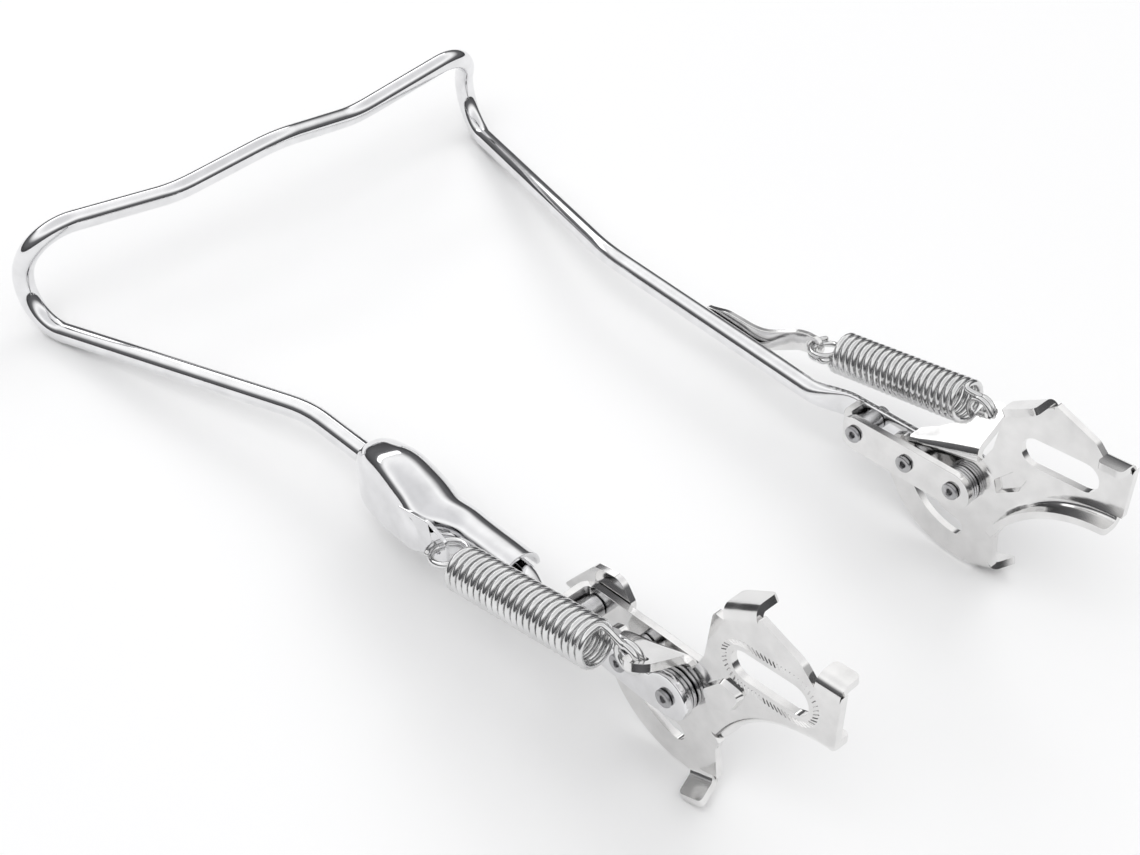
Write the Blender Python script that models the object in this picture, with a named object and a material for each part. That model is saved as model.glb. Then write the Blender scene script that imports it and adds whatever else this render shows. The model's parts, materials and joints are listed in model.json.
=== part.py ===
"""Double-leg stand for a bicycle's rear axle.

Everything is laid out first in the leg frame: X runs across, from the left side to the right, Y runs from
the hinge line towards the foot bar and Z points up out of the plane of the legs. The hinge line is the X
axis of the leg frame. At the end the whole stand is leaned about X and set down on the floor, where it lies
on its two stop hooks and its two foot corners.
"""

import math

import bmesh
import bpy
from mathutils import Matrix, Vector

MM = 0.001
GAP = 0.3                      # clearance that neighbouring pieces keep, mm
SEAM = 0.12                    # how far a turned edge sits inside the plate it grows from, mm

# ---- driving dimensions, mm -------------------------------------------------------------------------------

ROD_D = 8.0                    # the bent rod
SHEET = 2.5                    # stamped sheet of brackets and straps

# across the hinge, from the middle of the stand outwards
STRAP_X = 58.8                 # inner face of the link strap
BRACKET_X = 65.0               # inner face of the axle bracket
BLADE_X = 70.6                 # inner face of the flattened rod end
BLADE_T = 3.0

# the leg frame's bends, as corner points of the rod's centre line (right side)
LEG_END = Vector((67.6, 60.0, -1.6))
LEG_BEND = Vector((71.2, 176.8, 4.5))
FOOT_LOW = Vector((112.3, 317.5, -4.9))
FOOT_HIGH = Vector((103.3, 296.0, 38.2))
BAR_DIP = Vector((42.9, 297.5, 28.9))
BAR_PEAK = Vector((0.0, 290.5, 37.4))
BEND_RADII = {"leg": 30.0, "foot": 16.5, "dip": 22.0, "peak": 20.0}

# blade: the flattened end of the rod, in the side view (y, z)
BLADE_TOP = 3.8
BLADE_LOW = -8.6
EYE_R = 8.2                    # eye of the blade around the pivot
BLADE_END_Y = 57.0             # where the flat meets the round rod

# hinge: pivot rivet at y = 0, the other rivets on the strap's centre line
STOP_Y = 19.5
REAR_Y = 41.5
RIVET_R = 1.9
RIVET_HOLE_R = 2.2
RIVET_HEAD_R = 3.1
RIVET_HEAD_T = 1.1
RIVET_BORE_R = 0.9

# axle bracket, in the side view (y, z)
DISC_R = 32.0
STOP_SLOT_HALF = 3.4           # half width of the curved slot
STOP_TRAVEL = 86.0             # degrees that the bracket turns on the stop sleeve
AXLE_SLOT_CENTRE = (-33.4, 27.3)
AXLE_SLOT_LENGTH = 28.6
AXLE_SLOT_WIDTH = 10.6
AXLE_SLOT_TILT = math.radians(3.6)
FRONT_CORNER = (-12.3, 41.2)
TOP_CORNER = (-27.0, 50.2)
REAR_NOTCH = (-46.5, 41.2)
REAR_CORNER = (-58.4, 42.0)
ARC_CENTRE = (-57.4, -28.5)    # centre of the bracket's concave edge
ARC_R = 44.5
BUMP_RISE = 1.0
TAB_LENGTH = 7.0
ARC_FLANGE = 5.5
HOOK_LENGTH = 8.2

# spring ear: turned out and up over the blade
EAR_START = (30.5, 3.4)
EAR_END = (-9.0, 17.8)
EAR_TILT = math.radians(21.0)
EAR_HOLE = (31.0, 14.0)        # along the bend line, and out from it
EAR_HOLE_R = 2.4

# pedal and anchor
PEDAL_WALL = 1.5
ANCHOR_T = 2.2
ANCHOR_WIDE = 8.0

# springs
WIRE_D = 2.6
SPRING_OD = 16.0
COIL_TURNS = 22
PEDAL_HOLE = Vector((82.2, 93.6, 3.0))
ANCHOR_HOLE = Vector((82.3, 80.5, 4.9))
COIL_LENGTH = {"left": 64.0, "right": 58.0}
HOOK_WIRE_D = 2.4
LOOP_R = 4.6                   # centre line of the end loops

# the lean at which brackets and foot both touch the floor lies between these
LEAN_LIMITS = (math.radians(-10.0), 0.0)

SIDES = {"left": -1.0, "right": 1.0}


# ---- materials --------------------------------------------------------------------------------------------

def plated(name, colour, roughness):
    """A bare or plated metal."""
    material = bpy.data.materials.new(name)
    material.use_nodes = True
    shader = material.node_tree.nodes["Principled BSDF"]
    shader.inputs["Base Color"].default_value = (*colour, 1.0)
    shader.inputs["Metallic"].default_value = 1.0
    shader.inputs["Roughness"].default_value = roughness
    return material


def make_materials():
    return {
        "rod": plated("chrome_rod", (0.80, 0.80, 0.81), 0.10),
        "sheet": plated("nickel_sheet", (0.74, 0.74, 0.75), 0.18),
        "rivet": plated("rivet_steel", (0.52, 0.52, 0.53), 0.32),
        "washer": plated("washer_steel", (0.60, 0.60, 0.61), 0.26),
        "spring": plated("spring_wire", (0.70, 0.70, 0.71), 0.16),
        "pedal": plated("chrome_pedal", (0.78, 0.78, 0.79), 0.12),
    }


# ---- outlines ---------------------------------------------------------------------------------------------

def arc_points(centre, radius, start, end, count):
    """Points on a circle from the angle start to the angle end, in degrees."""
    points = []
    for i in range(count + 1):
        angle = math.radians(start + (end - start) * i / count)
        points.append((centre[0] + radius * math.cos(angle), centre[1] + radius * math.sin(angle)))
    return points


def rounded(corners, steps=3):
    """An outline from corners (y, z, radius), each corner rounded with a quadratic arc."""
    points = []
    for i, (y, z, radius) in enumerate(corners):
        here = Vector((y, z))
        if radius == 0:
            points.append((y, z))
            continue
        before = Vector(corners[i - 1][:2]) - here
        after = Vector(corners[(i + 1) % len(corners)][:2]) - here
        half = before.angle(after) / 2
        reach = min(radius / math.tan(half), 0.45 * before.length, 0.45 * after.length)
        a = here + before.normalized() * reach
        b = here + after.normalized() * reach
        for k in range(steps + 1):
            t = k / steps
            p = a * (1 - t) ** 2 + here * 2 * t * (1 - t) + b * t ** 2
            points.append((p.x, p.y))
    return points


def circle(centre, radius, count=16):
    return arc_points(centre, radius, 0, 360 - 360 / count, count - 1)


def slot_outline(centre, length, width, tilt, steps=6):
    """A slot with round ends."""
    half = (length - width) / 2
    along = Vector((math.cos(tilt), math.sin(tilt)))
    points = []
    for sign, start in ((1, -90), (-1, 90)):
        middle = (centre[0] + sign * half * along.x, centre[1] + sign * half * along.y)
        turn = math.degrees(tilt)
        points += arc_points(middle, width / 2, start + turn, start + 180 + turn, steps)
    return points


def curved_slot(radius, half_width, start, end, steps=14):
    """A slot that follows a circle about the pivot, with round ends, angles in degrees."""
    points = arc_points((0, 0), radius + half_width, start, end, steps)
    tip = (radius * math.cos(math.radians(end)), radius * math.sin(math.radians(end)))
    points += arc_points(tip, half_width, end, end + 180, 5)[1:-1]
    points += arc_points((0, 0), radius - half_width, end, start, steps)
    tip = (radius * math.cos(math.radians(start)), radius * math.sin(math.radians(start)))
    points += arc_points(tip, half_width, start + 180, start + 360, 5)[1:-1]
    return points


# ---- solids -----------------------------------------------------------------------------------------------

def finish_mesh(bm, name, smooth=False):
    """A mesh from a bmesh in millimetres, with its faces pointing out."""
    bmesh.ops.recalc_face_normals(bm, faces=bm.faces)
    bmesh.ops.scale(bm, vec=(MM, MM, MM), verts=bm.verts)
    mesh = bpy.data.meshes.new(name)
    bm.to_mesh(mesh)
    bm.free()
    if smooth:
        mesh.shade_smooth()
        mesh.set_sharp_from_angle(angle=math.radians(40))
    return mesh


def add_object(name, mesh, material):
    obj = bpy.data.objects.new(name, mesh)
    bpy.context.scene.collection.objects.link(obj)
    if material is not None:
        mesh.materials.append(material)
    return obj


def prism(name, outline, place, depth, material=None, smooth=False):
    """An outline of (a, b) points pushed through depth; place maps (a, b, depth) to a point in mm."""
    bm = bmesh.new()
    low = [bm.verts.new(place(a, b, 0.0)) for a, b in outline]
    high = [bm.verts.new(place(a, b, depth)) for a, b in outline]
    bm.faces.new(low)
    bm.faces.new(high)
    count = len(outline)
    for i in range(count):
        j = (i + 1) % count
        bm.faces.new((low[i], low[j], high[j], high[i]))
    return add_object(name, finish_mesh(bm, name, smooth), material)


def side_plate(name, outline, x_low, x_high, side, material=None, smooth=False):
    """A plate that lies in a plane across X, with an outline of (y, z) points."""
    return prism(name, outline, lambda y, z, d: (side * (x_low + d), y, z), x_high - x_low, material, smooth)


def sweep(name, stations, material=None):
    """A solid through closed sections, each a list of points in mm, with flat ends."""
    bm = bmesh.new()
    rings = [[bm.verts.new(point) for point in station] for station in stations]
    count = len(rings[0])
    for one, two in zip(rings, rings[1:]):
        for i in range(count):
            j = (i + 1) % count
            bm.faces.new((one[i], one[j], two[j], two[i]))
    bm.faces.new(rings[0])
    bm.faces.new(rings[-1])
    return add_object(name, finish_mesh(bm, name, True), material)


def round_sections(path, radius, sides):
    """Circles square to a path, carried along it without twist."""
    tangents = [(path[min(i + 1, len(path) - 1)] - path[max(i - 1, 0)]).normalized() for i in range(len(path))]
    across = tangents[0].orthogonal().normalized()
    sections = []
    for point, tangent in zip(path, tangents):
        across = (across - tangent * across.dot(tangent)).normalized()
        other = tangent.cross(across)
        ring = []
        for k in range(sides):
            angle = 2 * math.pi * k / sides
            ring.append(point + radius * (across * math.cos(angle) + other * math.sin(angle)))
        sections.append(ring)
    return sections


def turned_ring(name, profile, centre_yz, side, material, sides=20):
    """A ring turned about an X line: profile is a closed loop of (x, radius)."""
    bm = bmesh.new()
    loops = []
    for k in range(sides):
        angle = 2 * math.pi * k / sides
        y, z = math.cos(angle), math.sin(angle)
        loops.append([bm.verts.new((side * x, centre_yz[0] + r * y, centre_yz[1] + r * z)) for x, r in profile])
    for k in range(sides):
        one, two = loops[k], loops[(k + 1) % sides]
        for i in range(len(profile)):
            j = (i + 1) % len(profile)
            bm.faces.new((one[i], one[j], two[j], two[i]))
    return add_object(name, finish_mesh(bm, name, True), material)


def combine(target, tool, operation):
    """Joins the tool to the target or cuts it away, and leaves the tool as a guide."""
    tool.hide_render = True
    tool.display_type = "WIRE"
    boolean = target.modifiers.new(operation.lower(), "BOOLEAN")
    boolean.operation = operation
    boolean.object = tool
    return target


def drill(target, name, centre_yz, radius, x_low, x_high, side, count=16):
    """A round hole along X."""
    cutter = side_plate(name, circle(centre_yz, radius, count), x_low, x_high, side)
    return combine(target, cutter, "DIFFERENCE")


# ---- leg frame --------------------------------------------------------------------------------------------

def bent_path(corners, step_deg=15.0):
    """A centre line through corners (point, radius), every bend a true arc."""
    path = [corners[0][0]]
    for i in range(1, len(corners) - 1):
        here, radius = corners[i]
        back = (corners[i - 1][0] - here).normalized()
        ahead = (corners[i + 1][0] - here).normalized()
        turn = math.pi - back.angle(ahead)
        reach = radius * math.tan(turn / 2)
        centre = here + (back + ahead).normalized() * radius / math.cos(turn / 2)
        start = here + back * reach - centre
        axis = start.cross(here + ahead * reach - centre).normalized()
        steps = max(2, round(math.degrees(turn) / step_deg))
        for k in range(steps + 1):
            path.append(centre + Matrix.Rotation(turn * k / steps, 3, axis) @ start)
    path.append(corners[-1][0])
    return path


def leg_path():
    """The rod's centre line from the left blade to the right blade."""
    half = [
        (LEG_END, 0.0),
        (LEG_BEND, BEND_RADII["leg"]),
        (FOOT_LOW, BEND_RADII["foot"]),
        (FOOT_HIGH, BEND_RADII["foot"]),
        (BAR_DIP, BEND_RADII["dip"]),
    ]
    mirrored = [(Vector((-p.x, p.y, p.z)), radius) for p, radius in half]
    return bent_path(mirrored + [(BAR_PEAK, BEND_RADII["peak"])] + half[::-1])


def blade_outline():
    """The flattened end seen from the side: an eye around the pivot that runs out into a straight bar."""
    top_angle = math.degrees(math.asin(BLADE_TOP / EYE_R))
    points = arc_points((0, 0), EYE_R, top_angle, 270, 12)
    low = [(9.0, BLADE_LOW), (BLADE_END_Y - 6, BLADE_LOW + 2.2)]
    high = [(BLADE_END_Y, -5.0), (BLADE_END_Y, 1.6), (BLADE_END_Y - 6, BLADE_TOP - 0.4)]
    return points + low + high + [(12.0, BLADE_TOP)]


def make_leg_frame(materials):
    frame = sweep("leg_frame", round_sections(leg_path(), ROD_D / 2, 12), materials["rod"])
    for label, side in SIDES.items():
        blade = side_plate(f"cut_{label}_blade", blade_outline(), BLADE_X, BLADE_X + BLADE_T, side)
        neck_from = Vector((side * (BLADE_X + BLADE_T / 2), BLADE_END_Y - 3, -2.2))
        neck_to = Vector((side * LEG_END.x, LEG_END.y + 6, LEG_END.z + 0.3))
        stations = []
        for t, half_x, half_z in ((0.0, 1.49, 4.6), (0.5, 2.9, 4.3), (1.0, 3.6, 3.7)):
            centre = neck_from.lerp(neck_to, t)
            ring = []
            for k in range(12):
                angle = 2 * math.pi * k / 12
                ring.append(centre + Vector((half_x * math.cos(angle), 0, half_z * math.sin(angle))))
            stations.append(ring)
        neck = sweep(f"cut_{label}_neck", stations)
        combine(frame, blade, "UNION")
        combine(frame, neck, "UNION")
        for piece, y in (("pivot", 0.0), ("stop", STOP_Y), ("rear", REAR_Y)):
            drill(frame, f"cut_{label}_blade_{piece}", (y, 0), RIVET_HOLE_R, BLADE_X - 3, BLADE_X + 6, side, 12)
    return frame


# ---- axle bracket -----------------------------------------------------------------------------------------

def bracket_outline():
    """The flat of the bracket seen from the side, without its turned edges."""
    arc_high = (ARC_CENTRE[0] + 0.3, ARC_CENTRE[1] + ARC_R)
    notch = (-14.6, -15.4)
    end_angle = math.degrees(math.atan2(notch[1] - ARC_CENTRE[1], notch[0] - ARC_CENTRE[0]))
    upper = rounded([
        (DISC_R, 0.0, 0),
        (*EAR_START, 1.5),
        (*EAR_END, 2.0),
        (*FRONT_CORNER, 2.0),
        (*TOP_CORNER, 2.5),
        (*REAR_NOTCH, 4.0),
        (*REAR_CORNER, 1.0),
        (*arc_high, 1.0),
        (arc_high[0] + 8.0, arc_high[1] - 0.7, 0),
    ])[1:-1]
    concave = arc_points(ARC_CENTRE, ARC_R, 88, end_angle, 9)[1:]
    hook = [(-16.0, -30.2), (-5.8, -34.2)]
    disc = arc_points((0, 0), DISC_R, -97, 0, 16)
    return upper + concave + hook + disc


def bend_plane(side, start, end, tilt):
    """Maps (along, out, up) from a bend line in the side view to a point, for a tab that is turned outwards."""
    along = (Vector(end) - Vector(start)).normalized()
    normal = Vector((-along.y, along.x))
    if normal.y < 0:
        normal = -normal

    def place(s, w, lift):
        out = w * math.cos(tilt) - lift * math.sin(tilt)
        up = w * math.sin(tilt) + lift * math.cos(tilt)
        y = start[0] + along.x * s + normal.x * up
        z = start[1] + along.y * s + normal.y * up
        return Vector((side * (BRACKET_X + SHEET + out), y, z))

    return place


def make_bracket(label, side, material):
    name = f"{label}_axle_bracket"
    x0, x1 = BRACKET_X, BRACKET_X + SHEET
    plate = side_plate(name, bracket_outline(), x0, x1, side, material)

    # spring ear, turned outwards over the blade
    place = bend_plane(side, EAR_START, EAR_END, EAR_TILT)
    tip = arc_points(EAR_HOLE, 5.2, -10, 175, 8)
    ear = [(6.2, -2.0), (36.0, -2.0), (36.0, 4.0)] + tip + [(24.4, 10.6), (15.0, 4.6), (7.2, 1.8)]
    turned = prism(f"cut_{label}_ear", ear, lambda s, w, d: place(s, w, d - SHEET - SEAM), SHEET)
    combine(plate, turned, "UNION")
    hole = circle(EAR_HOLE, EAR_HOLE_R, 12)
    cutter = prism(f"cut_{label}_ear_hole", hole, lambda s, w, d: place(s, w, d - SHEET - 4), SHEET + 8)
    combine(plate, cutter, "DIFFERENCE")

    # tabs and edge turned inwards
    for tag, start, end in (("front", FRONT_CORNER, TOP_CORNER), ("rear", REAR_NOTCH, REAR_CORNER)):
        start, end = Vector(start), Vector(end)
        along = (end - start).normalized()
        down = Vector((along.y, -along.x))
        if down.y > 0:
            down = -down
        first = start + along * 2.2 + down * SEAM
        last = end - along * 1.2 + down * SEAM
        corners = [first, last, last + down * SHEET, first + down * SHEET]
        tab = side_plate(f"cut_{label}_{tag}_tab", [tuple(c) for c in corners], x0 - TAB_LENGTH, x1 - 0.2, side)
        combine(plate, tab, "UNION")
    edge = arc_points(ARC_CENTRE, ARC_R + 0.3, 84, 22, 10)
    edge += arc_points(ARC_CENTRE, ARC_R + SHEET, 22, 84, 10)
    combine(plate, side_plate(f"cut_{label}_arc_edge", edge, x0 - ARC_FLANGE, x1 - 0.2, side), "UNION")

    # stop hook, turned outwards along the bottom
    low, high = Vector((-15.8, -30.0)), Vector((-6.0, -34.0))
    lift = Vector((0.9, 2.3))
    hook = [tuple(low), tuple(high), tuple(high + lift), tuple(low + lift)]
    turned = prism(f"cut_{label}_hook", hook,
                   lambda y, z, d: (side * (x0 + 0.2 + d), y - 0.35 * d, z - 0.05 * d), SHEET + HOOK_LENGTH)
    combine(plate, turned, "UNION")

    # raised bump: pressed out of the outer face, so hollow behind
    bump = [(-10.8, 8.2), (-17.2, 15.4), (-23.8, 14.8), (-21.0, 8.0), (-12.6, 2.2)]
    combine(plate, side_plate(f"cut_{label}_bump", bump, x1 - 0.5, x1 + BUMP_RISE, side), "UNION")
    middle = Vector((sum(p[0] for p in bump) / 5, sum(p[1] for p in bump) / 5))
    recess = [tuple(middle + (Vector(p) - middle) * 0.86) for p in bump]
    recess_cut = side_plate(f"cut_{label}_recess", recess, x0 - 1, x0 + BUMP_RISE, side)
    combine(plate, recess_cut, "DIFFERENCE")

    # slots and the pivot hole
    slot = slot_outline(AXLE_SLOT_CENTRE, AXLE_SLOT_LENGTH, AXLE_SLOT_WIDTH, -AXLE_SLOT_TILT)
    combine(plate, side_plate(f"cut_{label}_axle_slot", slot, x0 - 2, x1 + 2, side), "DIFFERENCE")
    stop = curved_slot(STOP_Y, STOP_SLOT_HALF, -STOP_TRAVEL - 1, 1)
    combine(plate, side_plate(f"cut_{label}_stop_slot", stop, x0 - 1, x1 + 1, side), "DIFFERENCE")
    drill(plate, f"cut_{label}_bracket_pivot", (0, 0), RIVET_HOLE_R, x0 - 1, x1 + 1, side)
    return plate


# ---- hinge pieces -----------------------------------------------------------------------------------------

def strap_outline():
    """The link strap seen from the side: wider at the rear, round at the pivot."""
    points = arc_points((0, 0), 7.0, 88, 272, 10)
    return points + [(STOP_Y, -7.0), (REAR_Y + 6.3, -6.8), (REAR_Y + 7.0, -6.0), (REAR_Y + 7.0, 5.4),
                     (REAR_Y + 6.3, 6.2), (STOP_Y, 6.8)]


def make_strap(label, side, material):
    x0, x1 = STRAP_X, STRAP_X + SHEET
    strap = side_plate(f"{label}_link_strap", strap_outline(), x0, x1, side, material)
    rear = REAR_Y + 7.0
    end = [(rear - SHEET, -6.0), (rear, -6.0), (rear, 5.4), (rear - SHEET, 5.4)]
    turned = side_plate(f"cut_{label}_strap_end", end, x0 + 0.3, BLADE_X - GAP, side)
    combine(strap, turned, "UNION")
    for piece, y in (("pivot", 0.0), ("stop", STOP_Y), ("rear", REAR_Y)):
        drill(strap, f"cut_{label}_strap_{piece}", (y, 0), RIVET_HOLE_R, x0 - 1, x1 + 1, side, 12)
    return strap


def make_rivet(name, y, x_in, x_out, side, material):
    """A tubular rivet: two rolled heads on a hollow shank, from the face x_in to the face x_out."""
    inner = x_in - GAP
    outer = x_out + GAP
    head, shank, bore = RIVET_HEAD_R, RIVET_R, RIVET_BORE_R
    profile = [
        (inner - RIVET_HEAD_T, bore + 0.3), (inner - RIVET_HEAD_T, head - 0.7), (inner - 0.5, head),
        (inner, head), (inner, shank), (outer, shank), (outer, head), (outer + 0.5, head),
        (outer + RIVET_HEAD_T, head - 0.7), (outer + RIVET_HEAD_T, bore + 0.3),
        (outer + 0.2, bore), (inner - 0.2, bore),
    ]
    return turned_ring(name, profile, (y, 0.0), side, material, 16)


def make_washer(name, y, x0, x1, r_in, r_out, side, material):
    profile = [(x0, r_in), (x0, r_out), (x1, r_out), (x1, r_in)]
    return turned_ring(name, profile, (y, 0.0), side, material, 20)


def stack(x0, x1, count):
    """Start and end of each washer when count of them share the space from x0 to x1."""
    thick = (x1 - x0 - GAP * (count + 1)) / count
    return [(x0 + GAP + i * (thick + GAP), x0 + (i + 1) * (thick + GAP)) for i in range(count)]


def make_hinge(label, side, materials):
    strap_out = STRAP_X + SHEET
    blade_out = BLADE_X + BLADE_T
    rear_in = STRAP_X
    if label == "left":
        rear_in = STRAP_X - GAP - LUG_T
    make_rivet(f"{label}_pivot_rivet", 0.0, STRAP_X, blade_out, side, materials["rivet"])
    make_rivet(f"{label}_stop_rivet", STOP_Y, STRAP_X, blade_out, side, materials["rivet"])
    make_rivet(f"{label}_rear_rivet", REAR_Y, rear_in, blade_out, side, materials["rivet"])
    ring_in = RIVET_R + 0.3
    for name, y, r_out in (("stop_sleeve", STOP_Y, 3.1), ("rear_spacer", REAR_Y, 3.8)):
        make_washer(f"{label}_{name}", y, strap_out + GAP, BLADE_X - GAP, ring_in, r_out, side, materials["washer"])
    for i, (x0, x1) in enumerate(stack(strap_out, BRACKET_X, 3), 1):
        make_washer(f"{label}_inner_washer_{i}", 0.0, x0, x1, ring_in, 6.8, side, materials["washer"])
    for i, (x0, x1) in enumerate(stack(BRACKET_X + SHEET, BLADE_X, 2), 1):
        make_washer(f"{label}_outer_washer_{i}", 0.0, x0, x1, ring_in, 7.4, side, materials["washer"])


# ---- pieces on the legs -----------------------------------------------------------------------------------

LUG_T = 2.2
LUG_OUTLINE = [(60.0, -5.5, 1.0), (46.0, 11.2, 2.0), (34.5, 13.4, 4.0), (29.5, 6.0, 3.0), (30.5, -5.5, 2.0)]


def make_lug(material):
    x1 = STRAP_X - GAP
    lug = side_plate("lug_plate", rounded(LUG_OUTLINE), x1 - LUG_T, x1, SIDES["left"], material)
    return drill(lug, "cut_lug_rear", (REAR_Y, 0), RIVET_HOLE_R, x1 - LUG_T - 1, x1 + 1, SIDES["left"], 12)


def rod_centre(y):
    """The leg's centre line between the blade and the bend, for a place y along it."""
    t = (y - LEG_END.y) / (LEG_BEND.y - LEG_END.y)
    return LEG_END.lerp(LEG_BEND, t)


def make_pedal(material):
    """A pressed shell over the left leg: a narrow ridge by the hinge, a wide bulb at the foot end, and a flat
    cheek that stands clear of the ridge to carry the spring."""
    # y, outer face x, top z, bottom z of the outer wall, inner edge x
    stations = [
        (69.0, 73.8, 5.0, -4.0, 61.9),
        (86.0, 74.3, 5.9, -4.4, 62.3),
        (97.0, 75.2, 6.9, -4.4, 62.4),
        (105.0, 82.5, 9.6, -4.6, 62.6),
        (114.0, 82.2, 13.0, -6.6, 62.6),
        (126.0, 80.2, 15.2, -8.0, 62.6),
        (136.0, 78.0, 13.2, -7.4, 63.2),
        (142.0, 75.6, 10.2, -5.0, 64.1),
    ]
    wall = PEDAL_WALL
    side = SIDES["left"]

    def section(outer, top, low, inner, inset):
        o, t, i = outer - inset, top - inset, inner + inset
        shoulder = (o - i) * 0.28
        return [(o, low), (o, t - shoulder * 1.1), (o - shoulder * 0.5, t - shoulder * 0.3), (o - shoulder * 1.3, t),
                (i + shoulder, t), (i + shoulder * 0.3, t - shoulder * 0.35), (i, t - shoulder * 1.1), (i, low + 3)]

    rings = []
    for y, outer, top, low, inner in stations:
        outside = section(outer, top, low, inner, 0.0)
        inside = section(outer, top, low, inner, wall)
        rings.append([Vector((side * x, y, z)) for x, z in outside + inside[::-1]])
    pedal = sweep("foot_pedal", rings, material)

    # the end wall that closes the bulb, notched for the rod
    y, outer, top, low, inner = stations[-1]
    ring = section(outer - 0.2, top - 0.2, low + 0.3, inner + 0.2, 0.0)
    end = prism("cut_pedal_end", ring, lambda x, z, d: (side * x, y - 0.4 + d, z), 1.9)
    combine(pedal, end, "UNION")
    centre = rod_centre(y)
    notch = [(centre.x - 4.4, low - 6), (centre.x + 4.4, low - 6)]
    notch += arc_points((centre.x, centre.z), 4.4, 0, 180, 8)
    cutter = prism("cut_pedal_notch", notch, lambda x, z, d: (side * x, y - 3 + d, z), 8)
    combine(pedal, cutter, "DIFFERENCE")

    # the cheek, with the spring hole near its free edge
    cheek = rounded([(88.2, -1.6, 1.5), (110.0, -4.2, 0), (110.0, 8.6, 0), (96.0, 11.6, 3.0), (88.2, 8.2, 2.5)])
    x_out = PEDAL_HOLE.x + wall / 2
    combine(pedal, side_plate("cut_pedal_cheek", cheek, x_out - wall, x_out, side), "UNION")
    hole = circle((PEDAL_HOLE.y, PEDAL_HOLE.z), EAR_HOLE_R, 12)
    return combine(pedal, side_plate("cut_pedal_hole", hole, 79.0, 86.0, side), "DIFFERENCE")


def make_anchor(material):
    """A strip along the right leg that swings out in an S to carry the spring."""
    weld = ROD_D / 2 + GAP + ANCHOR_T / 2
    # y, x of the strip's middle, z of the strip's middle
    line = [(y, rod_centre(y).x + weld, z) for y, z in ((126.0, 2.0), (112.0, 2.0), (101.0, 2.4))]
    line += [(95.5, 75.8, 3.0), (90.8, 79.0, 3.8), (87.0, 81.4, 4.5), (83.0, ANCHOR_HOLE.x, 4.9),
             (76.4, ANCHOR_HOLE.x, 4.9)]
    rings = []
    for i, (y, x, z) in enumerate(line):
        one, two = line[max(i - 1, 0)], line[min(i + 1, len(line) - 1)]
        ahead = Vector((two[1] - one[1], two[0] - one[0])).normalized()
        across = Vector((ahead.y, -ahead.x)) * ANCHOR_T / 2
        half = ANCHOR_WIDE / 2
        rings.append([Vector((x + sign * across.x, y + sign * across.y, z + height))
                      for sign, height in ((-1, -half), (1, -half), (1, half), (-1, half))])
    anchor = sweep("spring_anchor", rings, material)
    hole = circle((ANCHOR_HOLE.y, ANCHOR_HOLE.z), EAR_HOLE_R, 12)
    return combine(anchor, side_plate("cut_anchor_hole", hole, 79.0, 86.0, SIDES["right"]), "DIFFERENCE")


# ---- springs ----------------------------------------------------------------------------------------------

def ear_point(side):
    """The middle of the spring hole in the ear."""
    place = bend_plane(side, EAR_START, EAR_END, EAR_TILT)
    return place(EAR_HOLE[0], EAR_HOLE[1], -SHEET / 2)


def move_origin(obj, origin):
    """Puts an object's origin at a point in mm without moving its mesh."""
    obj.data.transform(Matrix.Translation(-origin * MM))
    obj.location = origin * MM


def wire_loop(origin, direction, reach, turned):
    """An open loop that leaves the coil's wall, passes through a hole at reach and comes back."""
    wall = (SPRING_OD - WIRE_D) / 2
    centre = reach - LOOP_R
    points = [origin - direction * 1.2 + turned * wall, origin + direction * 1.6 + turned * wall * 0.9]
    for k in range(9):
        angle = math.radians(90 - 28 * k)
        points.append(origin + direction * (centre + LOOP_R * math.cos(angle)) + turned * LOOP_R * math.sin(angle))
    return points


def make_spring(label, side, materials):
    """A close-wound coil as a ribbed tube with its leg loop, and the ear loop as a piece of its own."""
    ear = ear_point(side)
    hole = PEDAL_HOLE if label == "left" else ANCHOR_HOLE
    foot = Vector((side * hole.x, hole.y, hole.z))
    along = (foot - ear).normalized()
    total = (foot - ear).length
    coil = COIL_LENGTH[label]
    start = (total - coil) / 2
    up = (Vector((0, 0, 1)) - along * along.z).normalized()
    out = side * up.cross(along)
    pitch = coil / COIL_TURNS
    profile = []
    for i in range(COIL_TURNS):
        profile.append((start + i * pitch, SPRING_OD / 2 - 0.6))
        profile.append((start + (i + 0.5) * pitch, SPRING_OD / 2))
    profile.append((start + coil, SPRING_OD / 2 - 0.6))
    inner = SPRING_OD / 2 - WIRE_D
    profile += [(start + coil, inner), (start, inner)]

    bm = bmesh.new()
    sides = 14
    loops = []
    for k in range(sides):
        angle = 2 * math.pi * k / sides
        ray = up * math.cos(angle) + out * math.sin(angle)
        loops.append([bm.verts.new(ear + along * s + ray * r) for s, r in profile])
    for k in range(sides):
        one, two = loops[k], loops[(k + 1) % sides]
        for i in range(len(profile)):
            j = (i + 1) % len(profile)
            bm.faces.new((one[i], one[j], two[j], two[i]))
    name = f"{label}_spring_coil"
    coil_object = add_object(name, finish_mesh(bm, name, True), materials["spring"])
    radius = HOOK_WIRE_D / 2
    leg_loop = wire_loop(ear + along * (start + coil), along, start, out)
    combine(coil_object, sweep(f"cut_{label}_leg_loop", round_sections(leg_loop, radius, 6)), "UNION")
    move_origin(coil_object, foot)

    ear_loop = wire_loop(ear + along * (start - 2.4), -along, start - 2.4, up)
    hook = sweep(f"{label}_spring_hook", round_sections(ear_loop, radius, 6), materials["spring"])
    move_origin(hook, foot)


# ---- the whole stand --------------------------------------------------------------------------------------

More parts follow.
